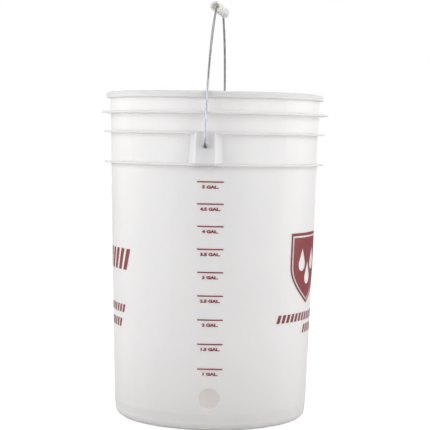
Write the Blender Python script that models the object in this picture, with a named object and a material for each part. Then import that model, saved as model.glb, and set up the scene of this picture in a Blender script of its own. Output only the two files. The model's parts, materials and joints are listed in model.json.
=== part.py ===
"""Plastic fermenting bucket: a tapered pail with a drilled tap hole, a wire bail and a loose tube grip.

The pail is one moulding: a lipped rim, three reinforcing rings, two ear boxes that hold the bail, and a
floor raised above a rounded foot. The bail is one length of wire whose hooked ends pass through the ears.
The grip is a plastic tube that turns on the wire.

Frame: +Z up, the origin at the middle of the foot's contact plane, +Y along the bail's pivot axis.
"""
import math

import bmesh
import bpy

# Pail wall: an outer cone and an even thickness.
WALL_RADIUS_AT_BASE = 0.1350
WALL_TAPER = 0.0283
WALL = 0.0023
ROUND_SEGMENTS = 64

# Foot and floor.
FOOT_RADIUS = 0.1252
FOOT_WIDTH = 0.0042
SKIRT_STEP = 0.0010
SKIRT_STEP_HEIGHT = 0.0175
FLOOR_TOP = 0.0150
FLOOR_THICKNESS = 0.0025
FOOT_SLOPE = 0.0030
CORNER_STEPS = 4

# Rim: a lip that turns out and down, open from below.
RIM_TOP = 0.4518
LIP_RADIUS = 0.1532
LIP_HEIGHT = 0.0088
LIP_ROUND = 0.0042
LIP_CHAMFER = 0.0010
RIM_INNER_ROUND = 0.0010

# Reinforcing rings, from the rim down.
RING_1_HEIGHT = 0.4233
RING_1_RADIUS = 0.1588
RING_2_HEIGHT = 0.3966
RING_2_RADIUS = 0.1559
RING_3_HEIGHT = 0.3549
RING_3_RADIUS = 0.1546
RING_THICKNESS = 0.0030
RING_EDGE_ROUND = 0.0011
RING_ROOT_EXTRA = 0.0003

# Ear boxes, between ring 2 and ring 3.
EAR_FACE_TOP = 0.1566
EAR_FACE_BOTTOM = 0.1552
EAR_FRONT_HALF_TOP = 0.0130
EAR_FRONT_HALF_BOTTOM = 0.0138
EAR_BACK_HALF_TOP = 0.0238
EAR_BACK_HALF_BOTTOM = 0.0252
EAR_BACK = 0.1400
EAR_PANEL = 0.0027
EAR_SIDE_WALL = 0.0022
EAR_BURY = 0.0012
EAR_CAVITY_BITE = 0.0002

# Tap hole, drilled by hand near the foot, a little off the ear's line.
TAP_HOLE_RADIUS = 0.0134
TAP_HOLE_HEIGHT = 0.0447
TAP_HOLE_AZIMUTH = math.radians(4.0)
TAP_HOLE_SIDES = 32

# Bail: wire in one plane, symmetric about its middle.
PIVOT_HEIGHT = 0.3792
WIRE_RADIUS = 0.0016
EAR_HOLE_RADIUS = 0.0024
EAR_HOLE_SIDES = 18
BAIL_LEAN = math.radians(1.28)
LEG_HALF_WIDTH = 0.1620
LEG_HEIGHT = 0.0238
BOW_RADIUS = 0.1830
BOW_TURN = math.radians(65.0)
SHOULDER_RADIUS = 0.0180
PIVOT_BEND_RADIUS = 0.0042
HOOK_HALF_WIDTH = 0.1492
HOOK_BEND_RADIUS = 0.0030
HOOK_DROP = 0.0072

# Grip: a tube with a collar at each end and two bands, loose on the wire and a little skew to it.
GRIP_HALF_LENGTH = 0.0530
GRIP_RADIUS = 0.0065
GRIP_COLLAR_RADIUS = 0.0071
GRIP_COLLAR_LENGTH = 0.0070
GRIP_BAND_HALF_LENGTH = 0.0022
GRIP_BAND_OFFSET = 0.0180
GRIP_BORE_RADIUS = 0.0051
GRIP_EDGE = 0.0005
GRIP_DROP = 0.0011
GRIP_SKEW = math.radians(2.75)
GRIP_SEGMENTS = 24


def clear_scene():
    for thing in list(bpy.data.objects):
        bpy.data.objects.remove(thing, do_unlink=True)


def plain_material(name, color, roughness, metallic=0.0):
    material = bpy.data.materials.new(name)
    material.use_nodes = True
    shader = material.node_tree.nodes["Principled BSDF"]
    shader.inputs["Base Color"].default_value = (*color, 1.0)
    shader.inputs["Roughness"].default_value = roughness
    shader.inputs["Metallic"].default_value = metallic
    return material


def add_object(name, data, material=None):
    thing = bpy.data.objects.new(name, data)
    bpy.context.scene.collection.objects.link(thing)
    if material is not None:
        data.materials.append(material)
    return thing


def hide_guide(thing):
    thing.hide_render = True
    thing.display_type = "WIRE"


def combine(target, other, operation):
    """Join a guide solid to the target, or cut it away."""
    modifier = target.modifiers.new(operation.lower() + " " + other.name, "BOOLEAN")
    modifier.operation = operation
    modifier.solver = "EXACT"
    modifier.object = other
    hide_guide(other)


def arc(center, radius, start, end, steps):
    """Points on a circular arc, both ends included; angles in degrees from the first axis."""
    points = []
    for step in range(steps + 1):
        angle = math.radians(start + (end - start) * step / steps)
        points.append((center[0] + radius * math.cos(angle), center[1] + radius * math.sin(angle)))
    return points


def turned_mesh(name, profile, segments, closed):
    """Turn (radius, height) points about Z. An open profile starts and ends on the axis."""
    mesh = bpy.data.meshes.new(name)
    shape = bmesh.new()
    loops = []
    for radius, height in profile:
        if radius < 1e-6:
            loops.append([shape.verts.new((0.0, 0.0, height))])
            continue
        ring = []
        for index in range(segments):
            angle = 2.0 * math.pi * index / segments
            ring.append(shape.verts.new((radius * math.cos(angle), radius * math.sin(angle), height)))
        loops.append(ring)
    pairs = list(zip(loops, loops[1:]))
    if closed:
        pairs.append((loops[-1], loops[0]))
    for first, second in pairs:
        for index in range(segments):
            following = (index + 1) % segments
            corners = [first[index % len(first)], first[following % len(first)],
                       second[following % len(second)], second[index % len(second)]]
            face = []
            for corner in corners:
                if corner not in face:
                    face.append(corner)
            shape.faces.new(face)
    bmesh.ops.recalc_face_normals(shape, faces=shape.faces)
    shape.to_mesh(mesh)
    shape.free()
    mesh.shade_smooth()
    mesh.set_sharp_from_angle(angle=math.radians(35.0))
    return mesh


def wall_outer(height):
    return WALL_RADIUS_AT_BASE + WALL_TAPER * height


def ring_profile(height, radius):
    """The outer line of one reinforcing ring, from its upper root to its lower root."""
    half = RING_THICKNESS / 2.0
    root = half + RING_ROOT_EXTRA
    shoulder = radius - RING_EDGE_ROUND
    return [
        (wall_outer(height + root), height + root),
        (shoulder, height + half),
        (radius, height + half - RING_EDGE_ROUND),
        (radius, height - half + RING_EDGE_ROUND),
        (shoulder, height - half),
        (wall_outer(height - root), height - root),
    ]


def pail_profile():
    """The pail's section: down the outside, under the foot, and back up the inside to the rim."""
    lip_bottom = RIM_TOP - LIP_HEIGHT
    lip_center = (LIP_RADIUS - LIP_ROUND, RIM_TOP - LIP_ROUND)
    lip_under = RIM_TOP - WALL
    lip_inner = LIP_RADIUS - WALL
    outside = arc(lip_center, LIP_ROUND, 90.0, 0.0, CORNER_STEPS)
    outside += [
        (LIP_RADIUS, lip_bottom + LIP_CHAMFER),
        (LIP_RADIUS - LIP_CHAMFER, lip_bottom),
        (lip_inner, lip_bottom),
        (lip_inner, lip_under - 0.0010),
        (lip_inner - 0.0010, lip_under),
        (wall_outer(lip_under), lip_under),
    ]
    for height, radius in ((RING_1_HEIGHT, RING_1_RADIUS), (RING_2_HEIGHT, RING_2_RADIUS),
                           (RING_3_HEIGHT, RING_3_RADIUS)):
        outside += ring_profile(height, radius)

    skirt_radius = wall_outer(SKIRT_STEP_HEIGHT) - SKIRT_STEP
    corner = skirt_radius - FOOT_RADIUS
    foot_center = (FOOT_RADIUS, corner)
    foot_inner = FOOT_RADIUS - FOOT_WIDTH
    outside += [
        (wall_outer(SKIRT_STEP_HEIGHT + SKIRT_STEP), SKIRT_STEP_HEIGHT + SKIRT_STEP),
        (skirt_radius, SKIRT_STEP_HEIGHT),
    ]
    outside += arc(foot_center, corner, 0.0, -90.0, CORNER_STEPS)
    under = [
        (foot_inner, 0.0),
        (foot_inner - FOOT_SLOPE, FLOOR_TOP - FLOOR_THICKNESS),
        (0.0, FLOOR_TOP - FLOOR_THICKNESS),
    ]
    inside = [
        (0.0, FLOOR_TOP),
        (foot_inner - FOOT_SLOPE + WALL, FLOOR_TOP),
        (foot_inner + WALL, WALL + 0.0006),
    ]
    inside += arc((FOOT_RADIUS, corner), corner - WALL, -90.0, 0.0, CORNER_STEPS)
    inside += [
        (wall_outer(SKIRT_STEP_HEIGHT) - WALL, SKIRT_STEP_HEIGHT + SKIRT_STEP),
        (wall_outer(RIM_TOP) - WALL, RIM_TOP - RIM_INNER_ROUND),
        (wall_outer(RIM_TOP) - WALL + RIM_INNER_ROUND, RIM_TOP),
    ]
    profile = outside + under + inside
    return profile[profile.index((0.0, FLOOR_TOP)):] + profile[:profile.index((0.0, FLOOR_TOP))]


def wedge_mesh(name, front_bottom, front_top, back_bottom, back_top, face_bottom, face_top, low, high):
    """A box that widens towards the pail and leans with the ear's face; it points along -Y."""
    corners = []
    for height, front, back, face in ((low, front_bottom, back_bottom, face_bottom),
                                      (high, front_top, back_top, face_top)):
        corners += [(-front, -face, height), (front, -face, height),
                    (back, -EAR_BACK, height), (-back, -EAR_BACK, height)]
    faces = [(3, 2, 1, 0), (4, 5, 6, 7)]
    for index in range(4):
        following = (index + 1) % 4
        faces.append((index, following, following + 4, index + 4))
    mesh = bpy.data.meshes.new(name)
    mesh.from_pydata(corners, [], faces)
    return mesh


def cone_guide(name, offset):
    """A solid cone that stays a set distance inside or outside the pail's wall."""
    low = RING_3_HEIGHT - 0.020
    high = RING_2_HEIGHT + 0.010
    profile = [(0.0, low), (wall_outer(low) + offset, low), (wall_outer(high) + offset, high), (0.0, high)]
    return add_object(name, turned_mesh(name, profile, ROUND_SEGMENTS, closed=False))


def pin_guide(name, radius, sides, start, end):
    """A round cutter that lies along -Y."""
    mesh = turned_mesh(name, [(0.0, start), (radius, start), (radius, end), (0.0, end)], sides, closed=False)
    pin = add_object(name, mesh)
    pin.rotation_euler.x = math.radians(90.0)
    return pin


def add_ears(pail):
    """One ear box on each side: a front panel and two side panels, open below through ring 3."""
    buried_cone = cone_guide("wall_core", -EAR_BURY)
    back_cone = cone_guide("cavity_back", -EAR_CAVITY_BITE)
    hide_guide(buried_cone)
    hide_guide(back_cone)
    cavity_roof = RING_2_HEIGHT - RING_THICKNESS / 2.0 - EAR_CAVITY_BITE
    for label, turn in (("near", 0.0), ("far", math.pi)):
        pin = pin_guide("ear_hole_" + label, EAR_HOLE_RADIUS, EAR_HOLE_SIDES, 0.1500, 0.1600)
        pin.rotation_euler.z = turn
        pin.location.z = PIVOT_HEIGHT

        blank_mesh = wedge_mesh("ear_blank_" + label, EAR_FRONT_HALF_BOTTOM, EAR_FRONT_HALF_TOP,
                                EAR_BACK_HALF_BOTTOM, EAR_BACK_HALF_TOP, EAR_FACE_BOTTOM, EAR_FACE_TOP,
                                RING_3_HEIGHT, RING_2_HEIGHT + RING_THICKNESS / 4.0)
        blank = add_object(blank_mesh.name, blank_mesh)
        blank.rotation_euler.z = turn
        combine(blank, buried_cone, "DIFFERENCE")
        combine(pail, blank, "UNION")

        cavity_mesh = wedge_mesh("ear_cavity_" + label,
                                 EAR_FRONT_HALF_BOTTOM - EAR_SIDE_WALL, EAR_FRONT_HALF_TOP - EAR_SIDE_WALL,
                                 EAR_BACK_HALF_BOTTOM - EAR_SIDE_WALL, EAR_BACK_HALF_TOP - EAR_SIDE_WALL,
                                 EAR_FACE_BOTTOM - EAR_PANEL, EAR_FACE_TOP - EAR_PANEL,
                                 RING_3_HEIGHT - RING_THICKNESS, cavity_roof)
        cavity = add_object(cavity_mesh.name, cavity_mesh)
        cavity.rotation_euler.z = turn
        combine(cavity, back_cone, "DIFFERENCE")
        combine(cavity, pin, "UNION")
        combine(pail, cavity, "DIFFERENCE")


def make_pail():
    plastic = plain_material("natural_polyethylene", (0.86, 0.86, 0.84), 0.42)
    pail = add_object("bucket", turned_mesh("bucket", pail_profile(), ROUND_SEGMENTS, closed=False), plastic)
    add_ears(pail)
    drill = pin_guide("tap_hole", TAP_HOLE_RADIUS, TAP_HOLE_SIDES, 0.1250, 0.1450)
    drill.rotation_euler.z = TAP_HOLE_AZIMUTH
    drill.location.z = TAP_HOLE_HEIGHT
    combine(pail, drill, "DIFFERENCE")
    return pail


def bail_half():
    """(half-width, height) points from the hook's tip to the end of the straight top."""
    inner_bend = HOOK_HALF_WIDTH + HOOK_BEND_RADIUS
    outer_bend = LEG_HALF_WIDTH - PIVOT_BEND_RADIUS
    points = [(HOOK_HALF_WIDTH, -HOOK_DROP)]
    points += arc((inner_bend, -HOOK_BEND_RADIUS), HOOK_BEND_RADIUS, 180.0, 90.0, 4)
    points += arc((outer_bend, PIVOT_BEND_RADIUS), PIVOT_BEND_RADIUS, -90.0, 0.0, 4)
    turn = math.degrees(BOW_TURN)
    points += arc((LEG_HALF_WIDTH - BOW_RADIUS, LEG_HEIGHT), BOW_RADIUS, 0.0, turn, 14)
    end_width, end_height = points[-1]
    shoulder = (end_width - SHOULDER_RADIUS * math.cos(BOW_TURN),
                end_height - SHOULDER_RADIUS * math.sin(BOW_TURN))
    points += arc(shoulder, SHOULDER_RADIUS, turn, 90.0, 4)[1:]
    return points


def make_bail():
    """The wire, with its origin on the pivot axis."""
    steel = plain_material("galvanised_wire", (0.42, 0.43, 0.45), 0.35, metallic=1.0)
    half = bail_half()
    route = [(0.0, width, height) for width, height in half]
    route += [(0.0, -width, height) for width, height in reversed(half)]
    curve = bpy.data.curves.new("bail_wire", "CURVE")
    curve.dimensions = "3D"
    curve.bevel_depth = WIRE_RADIUS
    curve.bevel_resolution = 2
    curve.use_fill_caps = True
    spline = curve.splines.new("POLY")
    spline.points.add(len(route) - 1)
    for point, place in zip(spline.points, route):
        point.co = (*place, 1.0)
    bail = add_object("bail_wire", curve, steel)
    bail.location.z = PIVOT_HEIGHT
    bail.rotation_euler.y = BAIL_LEAN
    return bail


def grip_profile():
    """The tube's section as (radius, place along the tube), outside first and then the bore."""
    outside = []
    rises = [(-GRIP_HALF_LENGTH, -GRIP_HALF_LENGTH + GRIP_COLLAR_LENGTH)]
    for middle in (-GRIP_BAND_OFFSET, GRIP_BAND_OFFSET):
        rises.append((middle - GRIP_BAND_HALF_LENGTH, middle + GRIP_BAND_HALF_LENGTH))
    rises.append((GRIP_HALF_LENGTH - GRIP_COLLAR_LENGTH, GRIP_HALF_LENGTH))
    for start, end in rises:
        if start > -GRIP_HALF_LENGTH:
            outside.append((GRIP_RADIUS, start - GRIP_EDGE))
        outside += [(GRIP_COLLAR_RADIUS - GRIP_EDGE, start), (GRIP_COLLAR_RADIUS, start + GRIP_EDGE),
                    (GRIP_COLLAR_RADIUS, end - GRIP_EDGE), (GRIP_COLLAR_RADIUS - GRIP_EDGE, end)]
        if end < GRIP_HALF_LENGTH:
            outside.append((GRIP_RADIUS, end + GRIP_EDGE))
    return outside + [(GRIP_BORE_RADIUS, GRIP_HALF_LENGTH), (GRIP_BORE_RADIUS, -GRIP_HALF_LENGTH)]


def make_grip(bail):
    """The loose tube; its own axis runs along local Z of its mesh and lies along the bail's top."""
    plastic = plain_material("grip_plastic", (0.80, 0.80, 0.77), 0.40)
    grip = add_object("grip", turned_mesh("grip", grip_profile(), GRIP_SEGMENTS, closed=True), plastic)
    axis = bpy.data.objects.new("grip_axis", None)
    bpy.context.scene.collection.objects.link(axis)
    top = bail_half()[-1][1]
    axis.parent = bail
    axis.location.z = top - GRIP_DROP
    axis.rotation_euler.z = -GRIP_SKEW
    grip.parent = axis
    grip.rotation_euler.x = math.radians(-90.0)
    return grip


def main():
    clear_scene()
    make_pail()
    bail = make_bail()
    make_grip(bail)


main()
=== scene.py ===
"""Looks of the plastic fermenting bucket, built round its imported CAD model.

Every size is in metres, in the CAD's own frame: +Z up, the origin under the middle of the foot, and +Y
along the bail's pivot axis. The print on the wall is placed by azimuth, from -Y towards +X.
"""
import json
import math

import bmesh
import bpy
from mathutils import Matrix, Vector


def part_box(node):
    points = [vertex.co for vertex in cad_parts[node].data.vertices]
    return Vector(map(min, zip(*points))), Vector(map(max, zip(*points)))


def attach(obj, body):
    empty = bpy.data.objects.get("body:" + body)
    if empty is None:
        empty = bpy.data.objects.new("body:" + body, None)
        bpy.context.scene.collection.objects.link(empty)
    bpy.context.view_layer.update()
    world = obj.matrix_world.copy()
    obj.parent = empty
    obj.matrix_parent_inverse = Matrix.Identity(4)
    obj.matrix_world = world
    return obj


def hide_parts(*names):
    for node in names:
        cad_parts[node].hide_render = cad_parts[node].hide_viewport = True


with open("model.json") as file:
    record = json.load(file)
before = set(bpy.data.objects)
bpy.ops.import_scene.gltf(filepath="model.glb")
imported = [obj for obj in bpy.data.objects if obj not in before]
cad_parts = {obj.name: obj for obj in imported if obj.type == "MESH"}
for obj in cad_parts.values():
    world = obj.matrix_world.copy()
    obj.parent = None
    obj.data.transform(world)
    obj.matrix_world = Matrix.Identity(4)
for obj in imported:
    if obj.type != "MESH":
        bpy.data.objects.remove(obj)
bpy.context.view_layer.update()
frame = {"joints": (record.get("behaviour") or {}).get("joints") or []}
joints = {joint["name"]: joint for joint in frame["joints"]}

# Pail. Two sizes are read from the frame, and the main ones repeat the CAD's. The roundings, the slope
# over the foot's step and the lip's underside are this script's own, within a millimetre of the CAD.
PAIL_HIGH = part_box("bucket")[1]
RIM_TOP = PAIL_HIGH.z
RING_1_RADIUS = PAIL_HIGH.x
WALL_RADIUS_AT_BASE = 0.1350
WALL_TAPER = 0.0283
WALL = 0.0023
LIP_RADIUS = 0.1532
LIP_HEIGHT = 0.0088
RINGS = ((0.4233, RING_1_RADIUS), (0.3966, 0.1559), (0.3549, 0.1546))
RING_THICKNESS = 0.0030
RING_2_HEIGHT = RINGS[1][0]
RING_3_HEIGHT = RINGS[2][0]
FOOT_RADIUS = 0.1252
FOOT_WIDTH = 0.0042
FOOT_SLOPE = 0.0030
SKIRT_STEP = 0.0010
SKIRT_STEP_HEIGHT = 0.0175
SKIRT_SLOPE = 0.0055
SKIRT_ROUND = 0.0080
FLOOR_TOP = 0.0150
FLOOR_THICKNESS = 0.0025
LIP_UNDERSIDE = 0.0004
LIP_TOP_ROUND = 0.0042
LIP_BOTTOM_ROUND = 0.0021
RING_ROOT_ROUND = 0.0009
RING_EDGE_ROUND = 0.0013
ROUND_SEGMENTS = 240
FILLET_STEPS = 4

# Faint raised lines on the neck, where the mould's slides met: angles and half width in degrees.
RIDGE_ANGLES = (45.0, 135.0, 225.0, 315.0)
RIDGE_HALF_ANGLE = 0.16
RIDGE_HEIGHT = 0.0003

# Painted-in light on the pail: factors on its base colour. The PROUD pairs say how far a surface
# stands out of the wall, and bands are (middle height, half height).
FLOOR_TONE = 0.89
FLOOR_TONE_TOP = 0.12
WALL_TONE = 0.930
WALL_TONE_TOP = 0.40
FOOT_LIFT = 1.22
FOOT_LIFT_HEIGHT = 0.0055
RING_TONE = 0.83
RING_LIFT = 1.11
RING_LIFT_DEPTH = 0.0100
EAR_LIFT = 1.09
RING_PROUD = (0.0004, 0.0020)
EAR_PROUD = (0.006, 0.009)
BAND_EDGE = 0.0006
RING_BANDS = tuple((height, 0.0018) for height, radius in RINGS)
LIP_BAND = (RIM_TOP - LIP_HEIGHT / 2.0, LIP_HEIGHT / 2.0 + 0.0002)
SHADE_BANDS = (*RING_BANDS, LIP_BAND)

# Ear boxes and holes.
EAR_FACE_TOP = 0.1566
EAR_FACE_BOTTOM = 0.1552
EAR_FRONT_HALF = (0.0138, 0.0130)
EAR_BACK_HALF = (0.0252, 0.0238)
EAR_BACK = 0.1400
EAR_PANEL = 0.0027
EAR_SIDE_WALL = 0.0022
EAR_EDGE_ROUND = 0.0010
EAR_BLANK_SINK = 0.0012
EAR_CAVITY_SINK = 0.0002
EAR_GUIDE_BELOW = 0.020
EAR_GUIDE_ABOVE = 0.010
EAR_HOLE_RADIUS = 0.0024
EAR_HOLE_REACH = (0.1500, 0.1600)
EAR_HOLE_SIDES = 40
TAP_HOLE_RADIUS = 0.0134
TAP_HOLE_HEIGHT = 0.0447
TAP_HOLE_AZIMUTH = 4.0
TAP_HOLE_REACH = (0.1250, 0.1450)
TAP_HOLE_SIDES = 96

# Bail wire, in the plane of its two legs. The bow's turn is in degrees.
PIVOT = Vector(joints["bail_swing"]["pos_m"])
WIRE_RADIUS = 0.0016
LEG_HALF_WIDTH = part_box("bail_wire")[1].y - WIRE_RADIUS
BAIL_LEAN = math.radians(1.28)
LEG_HEIGHT = 0.0238
BOW_RADIUS = 0.1830
BOW_TURN = 65.0
SHOULDER_RADIUS = 0.0180
PIVOT_BEND_RADIUS = 0.0042
HOOK_HALF_WIDTH = 0.1492
HOOK_BEND_RADIUS = 0.0030
HOOK_DROP = 0.0072

# Grip tube.
GRIP_CENTER = Vector(joints["grip_spin"]["pos_m"])
GRIP_AXIS = Vector(joints["grip_spin"]["axis"])
GRIP_HALF_LENGTH = 0.0530
GRIP_RADIUS = 0.0065
GRIP_COLLAR_RADIUS = 0.0071
GRIP_COLLAR_LENGTH = 0.0070
GRIP_BAND_HALF_LENGTH = 0.0022
GRIP_BAND_OFFSET = 0.0180
GRIP_BORE_RADIUS = 0.0051

# Colours. A pair holds the two ends that a noise mixes. The wire's colour also goes by height, within
# the (low, high) limits of each change, which stands in for what a wire reflects.
PAIL_MILKY = ((0.862, 0.848, 0.853, 1.0), (0.89, 0.877, 0.875, 1.0))
ZINC_PAINTED_BRIGHT = ((0.40, 0.43, 0.50, 1.0), (0.50, 0.53, 0.60, 1.0))
ZINC_GREY = ((0.39, 0.40, 0.41, 1.0), (0.45, 0.46, 0.47, 1.0))
ZINC_PAINTED_DARK = (0.25, 0.255, 0.27, 1.0)
ZINC_PAINTED_DARK_TO_BRIGHT = (0.383, 0.394)
ZINC_PAINTED_BRIGHT_TO_GREY = (0.42, 0.50)
GRIP_WHITE = ((0.96, 0.96, 0.96, 1.0), (0.94, 0.937, 0.93, 1.0))
GRIP_THROUGH = (1.0, 0.985, 0.955, 1.0)
GRIP_THROUGH_SHARE = 0.40
SCALE_INK = ((0.27, 0.018, 0.032, 1.0), (0.34, 0.04, 0.055, 1.0))
SIDE_INK = ((0.22, 0.022, 0.028, 1.0), (0.28, 0.05, 0.055, 1.0))

# Volume scale: a cone's volume formula sets the lines' heights. Its inner radius and floor aren't the
# pail's own: they were chosen, and a bow added, so that the lines lie where the real print has them. The
# pail holds about 1% less than four gallons between the first line and the last.
GALLON = 0.003785
SCALE_INNER_RADIUS = 0.1334
SCALE_FLOOR = 0.0181
SCALE_HALF_ANGLE = 7.0
SCALE_AZIMUTH_LOW = 4.05
SCALE_AZIMUTH_HIGH = 2.70
SCALE_BOW = 0.0016
LINE_THICKNESS = 0.0017
TEXT_HEIGHT = 0.0044
TEXT_DROP = 0.0067
TEXT_STRETCH = 1.38
TEXT_WEIGHT = 0.060
INK_THICKNESS = 0.00008
INK_SINK = 0.00002
PRINT_COLUMN = 0.0035

# Plain side prints: rows are (name, azimuth of the left end, height, length, bar height, bar, gap).
BADGE_AZIMUTH = 72.2
BADGE_HEIGHT = 0.2140
BADGE_HALF_WIDTH = 0.0480
BADGE_HALF_HEIGHT = 0.0490
BADGE_WAIST = 0.10
BADGE_LINE = (0.92, 0.87)
BADGE_DROP_TIP = 2.3
BADGE_DROPS = ((-0.0190, 0.0060, 0.0095), (0.0190, 0.0060, 0.0095), (0.0, -0.0130, 0.0095))
HATCH_LEAN = 0.35
HATCH_ROWS = (
    ("right_row_upper", 43.3, 0.1475, 0.1430, 0.0110, 0.0056, 0.0036),
    ("right_row_lower", 68.5, 0.1300, 0.0690, 0.0118, 0.0056, 0.0036),
    ("left_row_top", -116.0, 0.2230, 0.1650, 0.0290, 0.0090, 0.0060),
    ("left_row_upper", -110.0, 0.1550, 0.1430, 0.0110, 0.0056, 0.0036),
    ("left_row_lower", -84.0, 0.1350, 0.0690, 0.0118, 0.0056, 0.0036),
)

# Studio: lamps are (name, place, target, size, spread in degrees, power in W, colour). The floor and the
# background are brighter to the camera than the light that they give.
SKY_LIGHT = 0.362
FLOOR_GLOW_NEAR = 0.74
FLOOR_GLOW_FAR = 0.84
NEUTRAL = (1.0, 1.0, 1.0)
WARM = (1.0, 0.975, 0.94)
WARMER = (1.0, 0.95, 0.90)
FLOOR_HALF_SIZE = 60.0
FLOOR_GREY = 0.50
FLOOR_ROUGHNESS = 0.9
FLOOR_GLOW_REACH = (0.3, 3.0)
LAMPS = (
    ("left_side_box", (-1.50, 0.20, 0.75), (0.0, 0.0, 0.30), (1.0, 1.5), 180.0, 6.9, WARM),
    ("left_front_box", (-1.45, -1.15, 0.75), (0.0, 0.0, 0.30), (1.0, 1.5), 180.0, 16.6, NEUTRAL),
    ("right_side_box", (1.50, 0.20, 0.75), (0.0, 0.0, 0.30), (1.0, 1.5), 180.0, 9.0, WARM),
    ("right_front_box", (1.45, -1.15, 0.75), (0.0, 0.0, 0.30), (1.0, 1.5), 180.0, 13.4, NEUTRAL),
    ("top_box", (0.0, 0.0, 1.90), (0.0, 0.0, 0.0), (1.4, 1.4), 180.0, 6.0, NEUTRAL),
    ("back_box", (0.0, 1.90, 0.75), (0.0, 0.0, 0.25), (1.6, 1.2), 180.0, 10.0, NEUTRAL),
    ("inside_box", (0.0, 0.0, 0.50), (0.0, 0.0, 0.0), (0.16, 0.16), 50.0, 0.105, WARMER),
)

# Camera: azimuth from -Y towards +X, angles in degrees, and the lens in millimetres.
CAMERA_AZIMUTH = 4.5
CAMERA_DISTANCE = 1.938
CAMERA_HEIGHT = 0.3982
CAMERA_PITCH = 3.467
CAMERA_ROLL = 1.042
CAMERA_PAN = -0.069
CAMERA_LENS = 114.87


def wall_outer(height):
    return WALL_RADIUS_AT_BASE + WALL_TAPER * height


# ---------------------------------------------------------------- mesh helpers

def add_object(name, data, material=None):
    thing = bpy.data.objects.new(name, data)
    bpy.context.scene.collection.objects.link(thing)
    if material is not None:
        data.materials.append(material)
    return thing


def rounded_path(corners):
    """(x, y) points along straight lines whose corners, given as (x, y, radius), are round."""
    points = []
    for index, (x, y, radius) in enumerate(corners):
        here = Vector((x, y))
        if radius == 0.0:
            points.append((x, y))
            continue
        before = (Vector(corners[index - 1][:2]) - here).normalized()
        after = (Vector(corners[(index + 1) % len(corners)][:2]) - here).normalized()
        half = before.angle(after) / 2.0
        center = here + (before + after).normalized() * (radius / math.sin(half))
        start = here + before * (radius / math.tan(half)) - center
        end = here + after * (radius / math.tan(half)) - center
        sweep = start.angle_signed(end)
        for step in range(FILLET_STEPS + 1):
            turn = Matrix.Rotation(-sweep * step / FILLET_STEPS, 2)
            points.append(tuple(center + turn @ start))
    return points


def turned_mesh(name, profile, segments, closed, ridges=(), ridge_zone=None):
    """Turn (radius, height) points about Z. Ridges are narrow raised columns at these angles, in degrees."""
    angles = [360.0 * index / segments for index in range(segments)]
    crests = set()
    for ridge in ridges:
        angles = [angle for angle in angles if abs(angle - ridge) > 3.0 * RIDGE_HALF_ANGLE]
        angles += [ridge - RIDGE_HALF_ANGLE, ridge, ridge + RIDGE_HALF_ANGLE]
        crests.add(ridge)
    angles.sort()
    shape = bmesh.new()
    loops = []
    for radius, height in profile:
        if radius < 1e-6:
            loops.append([shape.verts.new((0.0, 0.0, height))])
            continue
        raised = ridge_zone is not None and ridge_zone(radius, height)
        ring = []
        for angle in angles:
            reach = radius + (RIDGE_HEIGHT if raised and angle in crests else 0.0)
            turn = math.radians(angle)
            ring.append(shape.verts.new((reach * math.cos(turn), reach * math.sin(turn), height)))
        loops.append(ring)
    pairs = list(zip(loops, loops[1:]))
    if closed:
        pairs.append((loops[-1], loops[0]))
    for first, second in pairs:
        for index in range(len(angles)):
            following = (index + 1) % len(angles)
            face = []
            for ring, place in ((first, index), (first, following), (second, following), (second, index)):
                corner = ring[place % len(ring)]
                if corner not in face:
                    face.append(corner)
            shape.faces.new(face)
    bmesh.ops.recalc_face_normals(shape, faces=shape.faces)
    mesh = bpy.data.meshes.new(name)
    shape.to_mesh(mesh)
    shape.free()
    mesh.shade_smooth()
    return mesh


def combine(target, other, operation):
    modifier = target.modifiers.new(operation.lower() + " " + other.name, "BOOLEAN")
    modifier.operation = operation
    modifier.solver = "EXACT"
    modifier.object = other


def apply_modifiers(thing):
    """Replace the object's mesh by the mesh that its modifiers make."""
    graph = bpy.context.evaluated_depsgraph_get()
    mesh = bpy.data.meshes.new_from_object(thing.evaluated_get(graph))
    thing.modifiers.clear()
    thing.data = mesh


# ---------------------------------------------------------------- materials

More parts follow.
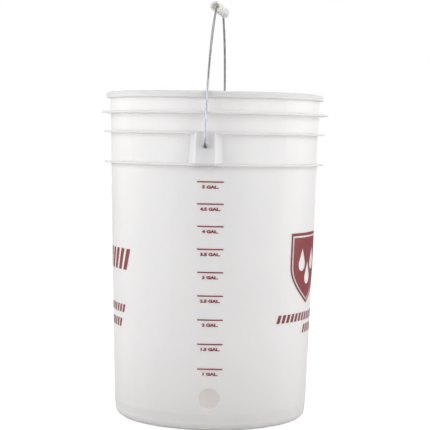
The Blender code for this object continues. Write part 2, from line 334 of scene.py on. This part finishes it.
class Nodes:
    """Short calls for a material's node tree."""

    def __init__(self, name):
        self.material = bpy.data.materials.new(name)
        self.material.use_nodes = True
        self.tree = self.material.node_tree
        self.shader = self.tree.nodes["Principled BSDF"]

    def add(self, kind, settings=None, **inputs):
        node = self.tree.nodes.new(kind)
        for key, value in (settings or {}).items():
            setattr(node, key, value)
        for key, value in inputs.items():
            self.set(node, key, value)
        return node

    def set(self, node, key, value):
        socket = node.inputs[int(key[1:]) if key[0] == "_" else key]
        if isinstance(value, bpy.types.NodeSocket):
            self.tree.links.new(value, socket)
        else:
            socket.default_value = value

    def noise(self, scale, detail=2.0, roughness=0.5, stretch=(1.0, 1.0, 1.0)):
        where = self.add("ShaderNodeTexCoord").outputs["Object"]
        moved = self.add("ShaderNodeMapping", _0=where, Scale=stretch).outputs[0]
        made = self.add("ShaderNodeTexNoise", _0=moved, Scale=scale, Detail=detail, Roughness=roughness)
        return made.outputs["Fac"]

    def span(self, value, low, high, to_low, to_high):
        made = self.add("ShaderNodeMapRange", _0=value)
        for index, number in enumerate((low, high, to_low, to_high)):
            made.inputs[index + 1].default_value = number
        return made.outputs["Result"]

    def math(self, operation, first, second=0.0, third=0.0):
        made = self.add("ShaderNodeMath", {"operation": operation}, _0=first, _1=second, _2=third)
        return made.outputs[0]

    def mix(self, factor, first, second):
        made = self.add("ShaderNodeMix", {"data_type": "RGBA"})
        self.set(made, "_0", factor)
        self.set(made, "_6", first)
        self.set(made, "_7", second)
        return made.outputs[2]

    def depth_shade(self):
        """1 high on the wall and less towards the floor, but more at the foot's edge."""
        place = self.add("ShaderNodeTexCoord").outputs["Object"]
        height = self.add("ShaderNodeSeparateXYZ", _0=place).outputs["Z"]
        near_floor = self.span(height, 0.0, FLOOR_TONE_TOP, FLOOR_TONE, 1.0)
        along_wall = self.span(height, 0.0, WALL_TONE_TOP, WALL_TONE, 1.0)
        foot = self.span(height, 0.0, FOOT_LIFT_HEIGHT, FOOT_LIFT, 1.0)
        return self.math("MULTIPLY", self.math("MULTIPLY", near_floor, along_wall), foot)

    def ring_shade(self):
        """1 on the wall, less on the rings and the lip, more under them and on the ears' fronts."""
        place = self.add("ShaderNodeTexCoord").outputs["Object"]
        parts = self.add("ShaderNodeSeparateXYZ", _0=place)
        height = parts.outputs["Z"]
        flat = self.add("ShaderNodeCombineXYZ", _0=parts.outputs["X"], _1=parts.outputs["Y"])
        length = self.add("ShaderNodeVectorMath", {"operation": "LENGTH"}, _0=flat.outputs[0])
        radius = length.outputs["Value"]
        wall = self.math("MULTIPLY_ADD", height, WALL_TAPER, WALL_RADIUS_AT_BASE)
        beyond = self.math("SUBTRACT", radius, wall)
        reach = self.span(beyond, *RING_PROUD, 0.0, 1.0)
        near = None
        under = None
        for middle, half in SHADE_BANDS:
            below = self.math("SUBTRACT", middle, height)
            band = self.span(self.math("ABSOLUTE", below), half, half + BAND_EDGE, 1.0, 0.0)
            near = band if near is None else self.math("MAXIMUM", near, band)
            fade = self.span(below, half, half + RING_LIFT_DEPTH, 1.0, 0.0)
            wash = self.math("MULTIPLY", fade, self.span(below, 0.0, half, 0.0, 1.0))
            under = wash if under is None else self.math("MAXIMUM", under, wash)
        lifted = self.span(under, 0.0, 1.0, 1.0, RING_LIFT)
        ring_upper = self.math("SUBTRACT", 1.0, under)
        on_ring = self.math("MULTIPLY", self.math("MULTIPLY", reach, near), ring_upper)
        off_ring = self.math("SUBTRACT", 1.0, on_ring)
        shade = self.math("MULTIPLY_ADD", lifted, off_ring, self.math("MULTIPLY", on_ring, RING_TONE))
        proud = self.span(beyond, *EAR_PROUD, 0.0, 1.0)
        off_bands = self.math("SUBTRACT", 1.0, self.math("MAXIMUM", near, under))
        on_ear = self.math("MULTIPLY", proud, off_bands)
        return self.math("MULTIPLY", shade, self.span(on_ear, 0.0, 1.0, 1.0, EAR_LIFT))

    def bump(self, height, strength, distance, normal=None):
        made = self.add("ShaderNodeBump", Height=height, Strength=strength, Distance=distance)
        if normal is not None:
            self.set(made, "Normal", normal)
        return made.outputs["Normal"]


def pail_plastic():
    """Natural polyethylene: milky, lets light through, with a fine moulded skin and light scuffs."""
    nodes = Nodes("natural_polyethylene")
    shader = nodes.shader
    cloud = nodes.noise(9.0, 3.0)
    flow = nodes.noise(30.0, 2.0, stretch=(1.0, 1.0, 0.12))
    tone = nodes.math("ADD", nodes.math("MULTIPLY", cloud, 0.6), nodes.math("MULTIPLY", flow, 0.4))
    color = nodes.mix(nodes.span(tone, 0.3, 0.7, 0.0, 1.0), *PAIL_MILKY)
    # Painted light and shade in the base colour: darker towards the floor and on the rings and the lip,
    # lighter just under them, on the ears' fronts and at the foot's edge.
    shade = nodes.math("MULTIPLY", nodes.depth_shade(), nodes.ring_shade())
    nodes.set(shader, "Base Color", nodes.mix(shade, (0.0, 0.0, 0.0, 1.0), color))
    scuff = nodes.noise(260.0, 3.0, 0.6, stretch=(1.0, 1.0, 0.25))
    rough = nodes.span(scuff, 0.35, 0.75, 0.34, 0.50)
    nodes.set(shader, "Roughness", rough)
    skin = nodes.noise(900.0, 2.0)
    wave = nodes.noise(22.0, 1.0, stretch=(1.0, 1.0, 0.35))
    normal = nodes.bump(wave, 0.25, 0.0012)
    nodes.set(shader, "Normal", nodes.bump(skin, 0.12, 0.0002, normal))
    shader.inputs["IOR"].default_value = 1.50
    shader.inputs["Specular IOR Level"].default_value = 0.42
    shader.inputs["Subsurface Weight"].default_value = 1.0
    shader.inputs["Subsurface Radius"].default_value = (1.0, 0.95, 0.88)
    shader.inputs["Subsurface Scale"].default_value = 0.006
    return nodes.material


def galvanised():
    """Drawn and zinc-coated wire, streaked. Its colour goes by height as a painted reflection: grey above,
    brighter low down and dark at the ears.
    """
    nodes = Nodes("galvanised_wire")
    shader = nodes.shader
    streak = nodes.noise(700.0, 3.0, 0.6, stretch=(1.0, 0.08, 0.08))
    patch = nodes.noise(160.0, 2.0)
    spread = nodes.span(patch, 0.35, 0.65, 0.0, 1.0)
    painted_bright_zinc = nodes.mix(spread, *ZINC_PAINTED_BRIGHT)
    grey_zinc = nodes.mix(spread, *ZINC_GREY)
    along = nodes.add("ShaderNodeTexCoord").outputs["Object"]
    height = nodes.add("ShaderNodeSeparateXYZ", _0=along).outputs["Z"]
    # Painted reflection: the colour goes by height, brighter low down, grey above and dark at the ears.
    shaft_painted_reflection = nodes.mix(nodes.span(height, *ZINC_PAINTED_BRIGHT_TO_GREY, 0.0, 1.0), painted_bright_zinc, grey_zinc)
    color = nodes.mix(nodes.span(height, *ZINC_PAINTED_DARK_TO_BRIGHT, 0.0, 1.0), ZINC_PAINTED_DARK, shaft_painted_reflection)
    nodes.set(shader, "Base Color", color)
    nodes.set(shader, "Roughness", nodes.span(streak, 0.3, 0.7, 0.22, 0.30))
    nodes.set(shader, "Normal", nodes.bump(streak, 0.03, 0.0001))
    shader.inputs["Metallic"].default_value = 1.0
    return nodes.material


def grip_white():
    """Thin white moulded plastic, which lets some light through into the bore."""
    nodes = Nodes("grip_plastic")
    shader = nodes.shader
    grime = nodes.noise(120.0, 3.0, 0.6)
    color = nodes.mix(nodes.span(grime, 0.45, 0.75, 0.0, 1.0), *GRIP_WHITE)
    nodes.set(shader, "Base Color", color)
    nodes.set(shader, "Roughness", nodes.span(nodes.noise(300.0), 0.3, 0.7, 0.58, 0.66))
    nodes.set(shader, "Normal", nodes.bump(nodes.noise(220.0), 0.03, 0.0002))
    shader.inputs["Specular IOR Level"].default_value = 0.3
    through = nodes.add("ShaderNodeBsdfTranslucent", Color=GRIP_THROUGH)
    both = nodes.add("ShaderNodeMixShader", _0=GRIP_THROUGH_SHARE)
    nodes.tree.links.new(shader.outputs[0], both.inputs[1])
    nodes.tree.links.new(through.outputs[0], both.inputs[2])
    nodes.tree.links.new(both.outputs[0], nodes.tree.nodes["Material Output"].inputs["Surface"])
    return nodes.material


def ink(name, dark, light):
    """Screen-printed ink, a little uneven and slightly worn."""
    nodes = Nodes(name)
    shader = nodes.shader
    wear = nodes.noise(420.0, 3.0, 0.6)
    nodes.set(shader, "Base Color", nodes.mix(nodes.span(wear, 0.35, 0.75, 0.0, 1.0), dark, light))
    nodes.set(shader, "Roughness", nodes.span(nodes.noise(800.0), 0.3, 0.7, 0.38, 0.52))
    nodes.set(shader, "Normal", nodes.bump(wear, 0.1, 0.0001))
    return nodes.material


# ---------------------------------------------------------------- the pail

def ring_corners(height, radius):
    half = RING_THICKNESS / 2.0
    return [
        (wall_outer(height + half), height + half, RING_ROOT_ROUND),
        (radius, height + half, RING_EDGE_ROUND),
        (radius, height - half, RING_EDGE_ROUND),
        (wall_outer(height - half), height - half, RING_ROOT_ROUND),
    ]


def pail_profile():
    """The section from the floor's middle out, up the inside, over the rim, down the outside and under."""
    lip_bottom = RIM_TOP - LIP_HEIGHT
    lip_under = RIM_TOP - WALL
    lip_inner = LIP_RADIUS - WALL
    foot_inner = FOOT_RADIUS - FOOT_WIDTH
    skirt = wall_outer(SKIRT_STEP_HEIGHT) - SKIRT_STEP
    inside_wall = wall_outer(SKIRT_STEP_HEIGHT) - WALL
    corners = [
        (0.0, FLOOR_TOP, 0.0),
        (foot_inner - FOOT_SLOPE + WALL, FLOOR_TOP, 0.0020),
        (foot_inner + WALL, WALL, 0.0008),
        (inside_wall - SKIRT_STEP, WALL, 0.0068),
        (inside_wall - SKIRT_STEP, SKIRT_STEP_HEIGHT, 0.0),
        (inside_wall, SKIRT_STEP_HEIGHT + 2.0 * SKIRT_STEP, 0.0),
        (wall_outer(RIM_TOP) - WALL, RIM_TOP, 0.0010),
        (LIP_RADIUS, RIM_TOP, LIP_TOP_ROUND),
        (LIP_RADIUS, lip_bottom, LIP_BOTTOM_ROUND),
        (lip_inner - LIP_UNDERSIDE, lip_bottom, 0.0005),
        (lip_inner - LIP_UNDERSIDE, lip_under - LIP_UNDERSIDE, 0.0009),
        (wall_outer(lip_under), lip_under - LIP_UNDERSIDE, 0.0006),
    ]
    for height, radius in RINGS:
        corners += ring_corners(height, radius)
    corners += [
        (wall_outer(SKIRT_STEP_HEIGHT + SKIRT_SLOPE), SKIRT_STEP_HEIGHT + SKIRT_SLOPE, SKIRT_ROUND),
        (skirt, SKIRT_STEP_HEIGHT - SKIRT_SLOPE, SKIRT_ROUND),
        (skirt, 0.0, skirt - FOOT_RADIUS),
        (foot_inner, 0.0, 0.0006),
        (foot_inner - FOOT_SLOPE, FLOOR_TOP - FLOOR_THICKNESS, 0.0012),
        (0.0, FLOOR_TOP - FLOOR_THICKNESS, 0.0),
    ]
    return rounded_path(corners)


def wedge(name, inset_side, inset_face, low, high, edge_round):
    """An ear box or its cavity: it widens towards the pail and leans with the ear's face."""
    shape = bmesh.new()
    layers = []
    for height, front, back, face in ((low, EAR_FRONT_HALF[0], EAR_BACK_HALF[0], EAR_FACE_BOTTOM),
                                      (high, EAR_FRONT_HALF[1], EAR_BACK_HALF[1], EAR_FACE_TOP)):
        front -= inset_side
        back -= inset_side
        face -= inset_face
        places = [(-front, -face), (front, -face), (back, -EAR_BACK), (-back, -EAR_BACK)]
        layers.append([shape.verts.new((x, y, height)) for x, y in places])
    shape.faces.new(reversed(layers[0]))
    shape.faces.new(layers[1])
    uprights = []
    for index in range(4):
        following = (index + 1) % 4
        shape.faces.new((layers[0][index], layers[0][following], layers[1][following], layers[1][index]))
    for index in range(2):
        uprights.append(shape.edges.get((layers[0][index], layers[1][index])))
    bmesh.ops.bevel(shape, geom=uprights, offset=edge_round, segments=4, profile=0.5, affect="EDGES")
    bmesh.ops.recalc_face_normals(shape, faces=shape.faces)
    mesh = bpy.data.meshes.new(name)
    shape.to_mesh(mesh)
    shape.free()
    return add_object(name, mesh)


def cone_guide(name, sink):
    """The wall's outside as a solid cone, made smaller by sink, to cut the ear boxes' backs with."""
    low = RING_3_HEIGHT - EAR_GUIDE_BELOW
    high = RING_2_HEIGHT + EAR_GUIDE_ABOVE
    profile = [(0.0, low), (wall_outer(low) - sink, low), (wall_outer(high) - sink, high), (0.0, high)]
    return add_object(name, turned_mesh(name, profile, ROUND_SEGMENTS, closed=False))


def pin_guide(name, radius, reach, height, azimuth, sides):
    """A round cutter, square to the pail's axis, that points along an azimuth."""
    start, end = reach
    mesh = turned_mesh(name, [(0.0, start), (radius, start), (radius, end), (0.0, end)], sides, closed=False)
    turn = Matrix.Rotation(math.radians(azimuth), 4, "Z") @ Matrix.Rotation(math.radians(90.0), 4, "X")
    mesh.transform(Matrix.Translation((0.0, 0.0, height)) @ turn)
    return add_object(name, mesh)


def neck_outside(radius, height):
    """True on the pail's outer surface between ring 3 and the rim, where the mould's slides met."""
    return RING_3_HEIGHT < height < RIM_TOP - LIP_HEIGHT and radius > wall_outer(height) - WALL / 2.0


def make_pail(material):
    mesh = turned_mesh("pail_body", pail_profile(), ROUND_SEGMENTS, closed=False,
                       ridges=RIDGE_ANGLES, ridge_zone=neck_outside)
    pail = add_object("pail_body", mesh, material)
    ring_top = RING_2_HEIGHT + RING_THICKNESS / 4.0
    ring_under = RING_2_HEIGHT - RING_THICKNESS / 2.0 - 0.0002
    guides = [cone_guide("ear_core", EAR_BLANK_SINK), cone_guide("ear_back", EAR_CAVITY_SINK)]
    for side, turn in (("near", 0.0), ("far", math.pi)):
        blank = wedge("ear_blank_" + side, 0.0, 0.0, RING_3_HEIGHT, ring_top, EAR_EDGE_ROUND)
        cavity = wedge("ear_cavity_" + side, EAR_SIDE_WALL, EAR_PANEL, RING_3_HEIGHT - RING_THICKNESS,
                       ring_under, EAR_EDGE_ROUND / 2.0)
        for part in (blank, cavity):
            part.data.transform(Matrix.Rotation(turn, 4, "Z"))
        pin = pin_guide("ear_pin_" + side, EAR_HOLE_RADIUS, EAR_HOLE_REACH, PIVOT.z,
                        math.degrees(turn), EAR_HOLE_SIDES)
        combine(blank, guides[0], "DIFFERENCE")
        combine(cavity, guides[1], "DIFFERENCE")
        combine(cavity, pin, "UNION")
        combine(pail, blank, "UNION")
        combine(pail, cavity, "DIFFERENCE")
        guides += [blank, cavity, pin]
    drill = pin_guide("tap_drill", TAP_HOLE_RADIUS, TAP_HOLE_REACH, TAP_HOLE_HEIGHT,
                      TAP_HOLE_AZIMUTH, TAP_HOLE_SIDES)
    combine(pail, drill, "DIFFERENCE")
    guides.append(drill)
    weighted = pail.modifiers.new("weighted normals", "WEIGHTED_NORMAL")
    weighted.keep_sharp = True
    weighted.weight = 80
    apply_modifiers(pail)
    for guide in guides:
        bpy.data.objects.remove(guide)
    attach(pail, "bucket")
    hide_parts("bucket")


# ---------------------------------------------------------------- bail and grip

def arc(center, radius, start, end, steps):
    points = []
    for step in range(steps + 1):
        angle = math.radians(start + (end - start) * step / steps)
        points.append((center[0] + radius * math.cos(angle), center[1] + radius * math.sin(angle)))
    return points


def bail_half():
    """(half-width, height) points from the hook's tip to the straight top."""
    points = [(HOOK_HALF_WIDTH, -HOOK_DROP)]
    hook = (HOOK_HALF_WIDTH + HOOK_BEND_RADIUS, -HOOK_BEND_RADIUS)
    points += arc(hook, HOOK_BEND_RADIUS, 180.0, 90.0, 10)
    heel = (LEG_HALF_WIDTH - PIVOT_BEND_RADIUS, PIVOT_BEND_RADIUS)
    points += arc(heel, PIVOT_BEND_RADIUS, -90.0, 0.0, 10)
    points += arc((LEG_HALF_WIDTH - BOW_RADIUS, LEG_HEIGHT), BOW_RADIUS, 0.0, BOW_TURN, 48)
    end_width, end_height = points[-1]
    turn = math.radians(BOW_TURN)
    shoulder = (end_width - SHOULDER_RADIUS * math.cos(turn), end_height - SHOULDER_RADIUS * math.sin(turn))
    points += arc(shoulder, SHOULDER_RADIUS, BOW_TURN, 90.0, 10)[1:]
    return points


def make_bail(material):
    half = bail_half()
    route = [(0.0, width, height) for width, height in half]
    route += [(0.0, -width, height) for width, height in reversed(half)]
    curve = bpy.data.curves.new("bail_curve", "CURVE")
    curve.dimensions = "3D"
    curve.bevel_depth = WIRE_RADIUS
    curve.bevel_resolution = 6
    curve.use_fill_caps = True
    spline = curve.splines.new("POLY")
    spline.points.add(len(route) - 1)
    for point, place in zip(spline.points, route):
        point.co = (*place, 1.0)
    guide = add_object("bail_curve", curve)
    graph = bpy.context.evaluated_depsgraph_get()
    mesh = bpy.data.meshes.new_from_object(guide.evaluated_get(graph))
    bpy.data.objects.remove(guide)
    mesh.materials.clear()
    mesh.transform(Matrix.Translation(PIVOT) @ Matrix.Rotation(BAIL_LEAN, 4, "Y"))
    mesh.shade_smooth()
    wire = add_object("bail_galvanised", mesh, material)
    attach(wire, "bail")
    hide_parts("bail_wire")


def grip_profile():
    corners = []
    rises = [(-GRIP_HALF_LENGTH, -GRIP_HALF_LENGTH + GRIP_COLLAR_LENGTH)]
    for middle in (-GRIP_BAND_OFFSET, GRIP_BAND_OFFSET):
        rises.append((middle - GRIP_BAND_HALF_LENGTH, middle + GRIP_BAND_HALF_LENGTH))
    rises.append((GRIP_HALF_LENGTH - GRIP_COLLAR_LENGTH, GRIP_HALF_LENGTH))
    for start, end in rises:
        if start > -GRIP_HALF_LENGTH:
            corners.append((GRIP_RADIUS, start, 0.00025))
        corners += [(GRIP_COLLAR_RADIUS, start, 0.0003), (GRIP_COLLAR_RADIUS, end, 0.0003)]
        if end < GRIP_HALF_LENGTH:
            corners.append((GRIP_RADIUS, end, 0.00025))
    corners += [(GRIP_BORE_RADIUS, GRIP_HALF_LENGTH, 0.0004), (GRIP_BORE_RADIUS, -GRIP_HALF_LENGTH, 0.0004)]
    return rounded_path(corners)


def make_grip(material):
    mesh = turned_mesh("grip_tube", grip_profile(), 64, closed=True)
    mesh.transform(Matrix.Translation(GRIP_CENTER) @ GRIP_AXIS.to_track_quat("Z", "X").to_matrix().to_4x4())
    grip = add_object("grip_tube", mesh, material)
    weighted = grip.modifiers.new("weighted normals", "WEIGHTED_NORMAL")
    weighted.weight = 80
    apply_modifiers(grip)
    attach(grip, "grip")
    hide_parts("grip")


# ---------------------------------------------------------------- the print

def flat_drawing(name, outlines):
    """A flat mesh in the XY plane, filled between closed outlines; an outline inside another is a hole."""
    curve = bpy.data.curves.new(name, "CURVE")
    curve.dimensions = "2D"
    curve.fill_mode = "BOTH"
    for outline in outlines:
        spline = curve.splines.new("POLY")
        spline.points.add(len(outline) - 1)
        spline.use_cyclic_u = True
        for point, (x, y) in zip(spline.points, outline):
            point.co = (x, y, 0.0, 1.0)
    return curve_to_mesh(name, curve)


def curve_to_mesh(name, curve):
    guide = add_object(name + "_guide", curve)
    graph = bpy.context.evaluated_depsgraph_get()
    mesh = bpy.data.meshes.new_from_object(guide.evaluated_get(graph))
    bpy.data.objects.remove(guide)
    mesh.materials.clear()
    return mesh


def print_on_wall(name, mesh, azimuth, height, material):
    """Bend a flat drawing in the XY plane (x to the right, y up) on to the wall, as a thin closed skin."""
    shape = bmesh.new()
    shape.from_mesh(mesh)
    left = min(vertex.co.x for vertex in shape.verts)
    right = max(vertex.co.x for vertex in shape.verts)
    cuts = int((right - left) / PRINT_COLUMN)
    for index in range(cuts):
        x = left + (right - left) * (index + 1) / (cuts + 1)
        everything = shape.verts[:] + shape.edges[:] + shape.faces[:]
        bmesh.ops.bisect_plane(shape, geom=everything, dist=1e-7,
                               plane_co=(x, 0.0, 0.0), plane_no=(1.0, 0.0, 0.0))
    made = bmesh.ops.extrude_face_region(shape, geom=shape.faces[:])
    lifted = {item for item in made["geom"] if isinstance(item, bmesh.types.BMVert)}
    for vertex in shape.verts:
        level = height + vertex.co.y
        radius = wall_outer(level) + (INK_THICKNESS if vertex in lifted else 0.0) - INK_SINK
        turn = math.radians(azimuth) + vertex.co.x / wall_outer(height)
        vertex.co = (radius * math.sin(turn), -radius * math.cos(turn), level)
    bmesh.ops.recalc_face_normals(shape, faces=shape.faces)
    shape.to_mesh(mesh)
    shape.free()
    piece = add_object(name, mesh, material)
    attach(piece, "bucket")


def text_mesh(name, words, height):
    """Generic upright lettering, centred on the origin."""
    curve = bpy.data.curves.new(name, "FONT")
    curve.body = words
    curve.align_x = "CENTER"
    curve.offset = TEXT_WEIGHT
    curve.resolution_u = 3
    mesh = curve_to_mesh(name, curve)
    low = min(vertex.co.y for vertex in mesh.vertices)
    high = max(vertex.co.y for vertex in mesh.vertices)
    scale = height / (high - low)
    mesh.transform(Matrix.Translation((0.0, -(low + high) / 2.0, 0.0)))
    mesh.transform(Matrix.Diagonal((TEXT_STRETCH * scale, scale, 1.0, 1.0)))
    return mesh


def box_outline(left, right, low, high, lean=0.0):
    """A box whose top is shifted to the right by lean."""
    return [(left, low), (right, low), (right + lean, high), (left + lean, high)]


def shield_outline(share):
    """A shield, straight above and pointed below, at a share of its full size."""
    half_width = BADGE_HALF_WIDTH * share
    half_height = BADGE_HALF_HEIGHT * share
    waist = BADGE_WAIST * half_height
    outline = [(-half_width, half_height), (-half_width, waist)]
    for step in range(1, 24):
        part = step / 12.0 - 1.0
        outline.append((half_width * math.copysign(1.0 - (1.0 - abs(part)) ** 2, part),
                        waist - (half_height + waist) * (1.0 - abs(part))))
    outline += [(half_width, waist), (half_width, half_height)]
    return outline


def drop_outline(x, y, radius, tip):
    """A drop: a round belly at (x, y) and a point at this distance above it."""
    start = math.degrees(math.asin(radius / tip))
    outline = [(x, y + tip)]
    for step in range(33):
        turn = math.radians(180.0 - start + (180.0 + 2.0 * start) * step / 32)
        outline.append((x + radius * math.cos(turn), y + radius * math.sin(turn)))
    return outline


def hatch_outlines(length, height, bar, gap):
    """Leaning bars in a row, from x = 0 to the right."""
    outlines = []
    left = 0.0
    while left + bar <= length:
        outlines.append(box_outline(left, left + bar, -height / 2.0, height / 2.0, HATCH_LEAN * height))
        left += bar + gap
    return outlines


def make_side_prints(material):
    """Plain marks where a shop's prints would be: a shield with drops, and rows of leaning bars."""
    badge = [shield_outline(share) for share in (1.0, *BADGE_LINE)]
    for x, y, radius in BADGE_DROPS:
        badge.append(drop_outline(x, y, radius, BADGE_DROP_TIP * radius))
    print_on_wall("badge_print", flat_drawing("badge_print", badge), BADGE_AZIMUTH, BADGE_HEIGHT, material)
    for name, azimuth, height, length, tall, bar, gap in HATCH_ROWS:
        drawing = flat_drawing(name, hatch_outlines(length, tall, bar, gap))
        print_on_wall(name, drawing, azimuth, height, material)


def mark_height(gallons):
    """The height of the liquid's surface over a floor, in a cone."""
    low = (SCALE_INNER_RADIUS + WALL_TAPER * SCALE_FLOOR) ** 3
    cube = low + 3.0 * WALL_TAPER * gallons * GALLON / math.pi
    return (cube ** (1.0 / 3.0) - SCALE_INNER_RADIUS) / WALL_TAPER


def make_scale(material):
    lowest = mark_height(1.0)
    highest = mark_height(5.0)
    for step in range(9):
        gallons = 1.0 + step / 2.0
        height = mark_height(gallons)
        share = (height - lowest) / (highest - lowest)
        height += SCALE_BOW * 4.0 * share * (1.0 - share)
        azimuth = SCALE_AZIMUTH_LOW + (SCALE_AZIMUTH_HIGH - SCALE_AZIMUTH_LOW) * share
        label = "%g" % gallons
        name = label.replace(".", "_")
        half = math.radians(SCALE_HALF_ANGLE) * wall_outer(height)
        line = box_outline(-half, half, -LINE_THICKNESS / 2.0, LINE_THICKNESS / 2.0)
        bar = flat_drawing("scale_line_" + name, [line])
        print_on_wall("scale_line_" + name, bar, azimuth, height, material)
        words = text_mesh("scale_text_" + name, label + " GAL.", TEXT_HEIGHT)
        print_on_wall("scale_text_" + name, words, azimuth, height - TEXT_DROP, material)


# ---------------------------------------------------------------- studio

def area_light(name, place, target, size, spread, power, color):
    light = bpy.data.lights.new(name, "AREA")
    light.shape = "RECTANGLE"
    light.size, light.size_y = size
    light.spread = math.radians(spread)
    light.energy = power
    light.color = color
    lamp = bpy.data.objects.new(name, light)
    bpy.context.scene.collection.objects.link(lamp)
    lamp.location = place
    lamp.rotation_euler = (Vector(target) - Vector(place)).to_track_quat("-Z", "Y").to_euler()


def make_studio():
    mesh = bpy.data.meshes.new("studio_floor")
    half = FLOOR_HALF_SIZE
    mesh.from_pydata([(-half, -half, 0.0), (half, -half, 0.0), (half, half, 0.0), (-half, half, 0.0)], [],
                     [(0, 1, 2, 3)])
    nodes = Nodes("studio_white")
    shader = nodes.shader
    shader.inputs["Base Color"].default_value = (FLOOR_GREY, FLOOR_GREY, FLOOR_GREY, 1.0)
    shader.inputs["Roughness"].default_value = FLOOR_ROUGHNESS
    shader.inputs["Emission Color"].default_value = (1.0, 1.0, 1.0, 1.0)
    place = nodes.add("ShaderNodeTexCoord").outputs["Object"]
    away = nodes.add("ShaderNodeVectorMath", {"operation": "LENGTH"}, _0=place).outputs["Value"]
    level = nodes.span(away, *FLOOR_GLOW_REACH, FLOOR_GLOW_NEAR, FLOOR_GLOW_FAR)
    seen_by_camera = nodes.add("ShaderNodeLightPath").outputs["Is Camera Ray"]
    nodes.set(shader, "Emission Strength", nodes.math("MULTIPLY", seen_by_camera, level))
    floor = add_object("studio_floor", mesh, nodes.material)
    world = bpy.data.worlds.new("studio")
    bpy.context.scene.world = world
    world.use_nodes = True
    tree = world.node_tree
    sky = tree.nodes["Background"]
    sky.inputs["Strength"].default_value = SKY_LIGHT
    seen = tree.nodes.new("ShaderNodeBackground")
    seen.inputs["Color"].default_value = (1.0, 1.0, 1.0, 1.0)
    sky.inputs["Color"].default_value = (1.0, 1.0, 1.0, 1.0)
    path = tree.nodes.new("ShaderNodeLightPath")
    choose = tree.nodes.new("ShaderNodeMixShader")
    tree.links.new(path.outputs["Is Camera Ray"], choose.inputs[0])
    tree.links.new(sky.outputs[0], choose.inputs[1])
    tree.links.new(seen.outputs[0], choose.inputs[2])
    tree.links.new(choose.outputs[0], tree.nodes["World Output"].inputs["Surface"])
    for lamp in LAMPS:
        area_light(*lamp)


def make_camera():
    data = bpy.data.cameras.new("photo_camera")
    data.sensor_width = 36.0
    data.lens = CAMERA_LENS
    data.clip_end = 200.0
    camera = bpy.data.objects.new("photo_camera", data)
    bpy.context.scene.collection.objects.link(camera)
    azimuth = math.radians(CAMERA_AZIMUTH)
    place = Vector((math.sin(azimuth), -math.cos(azimuth), 0.0)) * CAMERA_DISTANCE
    place.z = CAMERA_HEIGHT
    heading = Matrix.Rotation(math.radians(CAMERA_AZIMUTH + CAMERA_PAN), 4, "Z")
    tilt = Matrix.Rotation(math.radians(90.0 - CAMERA_PITCH), 4, "X")
    roll = Matrix.Rotation(math.radians(CAMERA_ROLL), 4, "Z")
    camera.matrix_world = Matrix.Translation(place) @ heading @ tilt @ roll
    bpy.context.scene.camera = camera


make_camera()
make_studio()
bpy.context.scene.view_settings.view_transform = "Standard"
make_pail(pail_plastic())
make_bail(galvanised())
make_grip(grip_white())
make_scale(ink("scale_ink", *SCALE_INK))
make_side_prints(ink("side_ink", *SIDE_INK))
